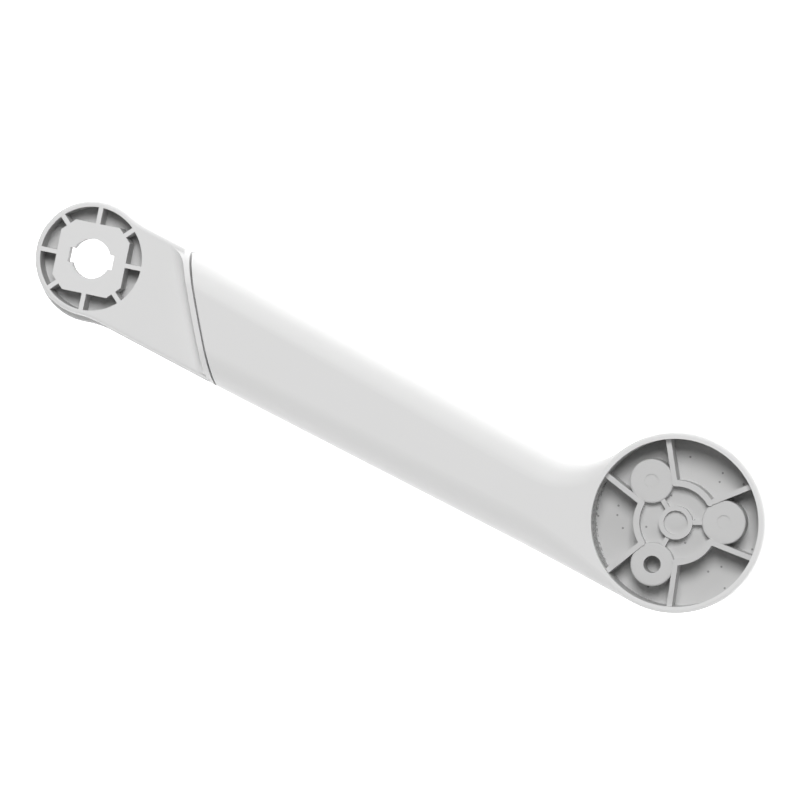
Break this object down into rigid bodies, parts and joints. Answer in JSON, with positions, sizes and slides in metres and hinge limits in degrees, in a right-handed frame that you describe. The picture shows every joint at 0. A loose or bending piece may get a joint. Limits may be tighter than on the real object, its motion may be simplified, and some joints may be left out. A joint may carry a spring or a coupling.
{
  "type": "crank arm",
  "caption": "Long moulded plastic crank arm with a ribbed round hub cup and a keyed round end fitting that slides out of its mouth.",
  "frame": {"origin": "hub axis, on the arm's flat back face", "axes": "+Z along the hub axis out of the open ribbed cup; +X along the arm towards the keyed end; +Y makes the frame right-handed"},
  "size_m": [0.2622, 0.064, 0.02],
  "materials": {
    "white_plastic": "fine satin",
    "screw_steel": "zinc plated"
  },
  "bodies": {
    "arm": {"arm_shell": "white_plastic", "arm_back_cover": "white_plastic", "cover_screw_1": "screw_steel", "cover_screw_2": "screw_steel", "cover_screw_3": "screw_steel", "cover_screw_4": "screw_steel", "clamp_screw": "screw_steel"},
    "end": {"end_fitting": "white_plastic", "end_back": "white_plastic", "end_screw_1": "screw_steel", "end_screw_2": "screw_steel", "end_screw_3": "screw_steel"}
  },
  "joints": [
    {"name": "end_slide", "type": "slide", "parent": "arm", "child": "end", "axis": [1, 0, 0], "range_m": [0, 0.02]}
  ]
}
